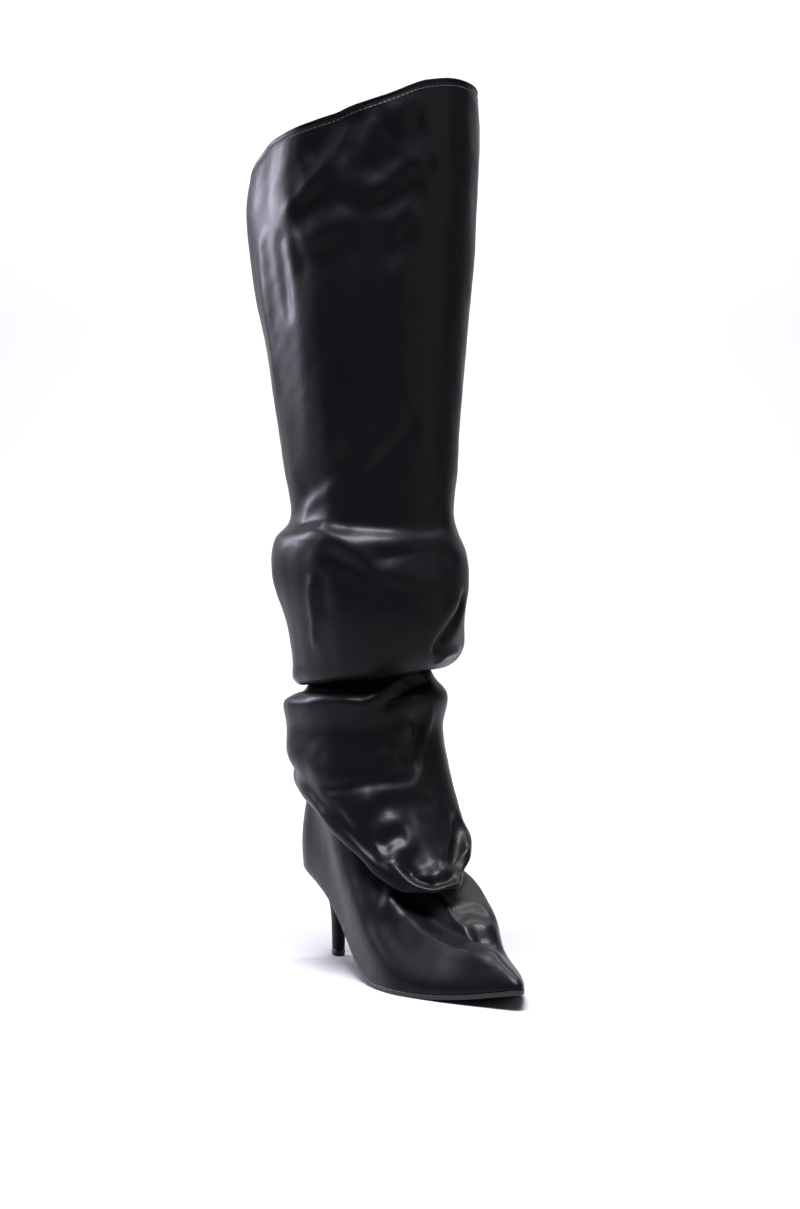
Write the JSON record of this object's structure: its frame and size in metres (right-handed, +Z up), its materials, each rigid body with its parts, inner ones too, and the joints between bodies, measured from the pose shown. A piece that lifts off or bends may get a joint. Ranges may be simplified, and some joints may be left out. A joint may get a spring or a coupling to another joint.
{
  "type": "slouch boot",
  "caption": "Knee-high slouch boot for the right foot: pointed toe, slim covered heel, loose shaft gathered in folds over the ankle and a sagging collar.",
  "frame": {"origin": "middle of the heel tip's face on the floor", "axes": "+Z up, the toe points along -Y, the outer side of the right foot is -X"},
  "size_m": [0.136, 0.2706, 0.545],
  "materials": {
    "upper_leather": "smooth black faux leather, semi-gloss",
    "sole": "matt black sole",
    "heel_leather": "covered in the upper's faux leather",
    "heel_tip": "matt black",
    "insole_lining": "dark brushed lining"
  },
  "bodies": {
    "root": {"upper": "upper_leather", "outsole": "sole", "heel": "heel_leather", "top_piece": "heel_tip", "insole": "insole_lining"}
  },
  "joints": []
}
